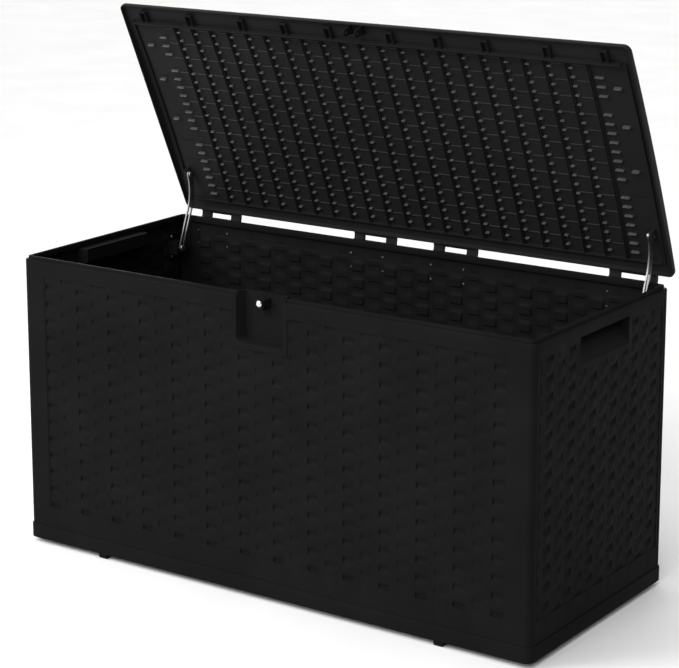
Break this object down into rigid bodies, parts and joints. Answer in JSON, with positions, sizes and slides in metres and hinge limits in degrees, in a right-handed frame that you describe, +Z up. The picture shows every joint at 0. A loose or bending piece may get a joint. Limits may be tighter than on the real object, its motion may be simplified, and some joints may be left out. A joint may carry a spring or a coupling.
{
  "type": "storage bench",
  "caption": "Long black resin deck box with a hinged lid on slotted steel stays, hand grips in its ends and a padlock recess in front.",
  "frame": {"origin": "on the floor under the middle of the box", "axes": "+X to the box's right-hand end seen from the front, +Y to the rear (hinge side), +Z up"},
  "size_m": [1.213, 0.5628, 1.1073],
  "materials": {
    "resin": "moulded wicker weave, satin black",
    "lid_resin": "smooth satin black underside",
    "stay_steel": "dull zinc",
    "steel": "zinc plated",
    "chrome": "polished"
  },
  "bodies": {
    "box": {"base_tray": "resin", "feet": "resin", "front_wall": "resin", "rear_wall": "resin", "left_wall": "resin", "right_wall": "resin", "lock_lug": "resin", "lug_stud": "chrome", "lug_screw": "steel", "hinge_bracket_1": "resin", "hinge_bracket_2": "resin", "hinge_bracket_3": "resin", "hinge_bracket_4": "resin", "hinge_pin_1": "steel", "hinge_pin_2": "steel", "hinge_pin_3": "steel", "hinge_pin_4": "steel", "hinge_screws": "steel", "stay_stud_left": "steel", "stay_stud_right": "steel", "stay_guide_left": "resin", "stay_guide_right": "resin", "guide_screws": "steel"},
    "lid": {"lid": "lid_resin", "lid_hasp": "resin", "stay_rivet_left": "steel", "stay_rivet_right": "steel"},
    "stay_left": {"stay_left": "stay_steel"},
    "stay_right": {"stay_right": "stay_steel"}
  },
  "joints": [
    {"name": "lid_hinge", "type": "hinge", "parent": "box", "child": "lid", "pos_m": [0, 0.2835, 0.6027], "axis": [1, 0, 0], "range_deg": [0, 65]},
    {"name": "stay_left_pivot", "type": "hinge", "parent": "lid", "child": "stay_left", "pos_m": [-0.567, 0.24469, 0.71149], "axis": [1, 0, 0], "range_deg": [-30, 0]},
    {"name": "stay_right_pivot", "type": "hinge", "parent": "lid", "child": "stay_right", "pos_m": [0.567, 0.24469, 0.71149], "axis": [1, 0, 0], "range_deg": [-30, 0]}
  ],
  "couplings": [
    {"joint": "stay_left_pivot", "follows": "lid_hinge", "ratio": -0.46},
    {"joint": "stay_right_pivot", "follows": "lid_hinge", "ratio": -0.46}
  ]
}
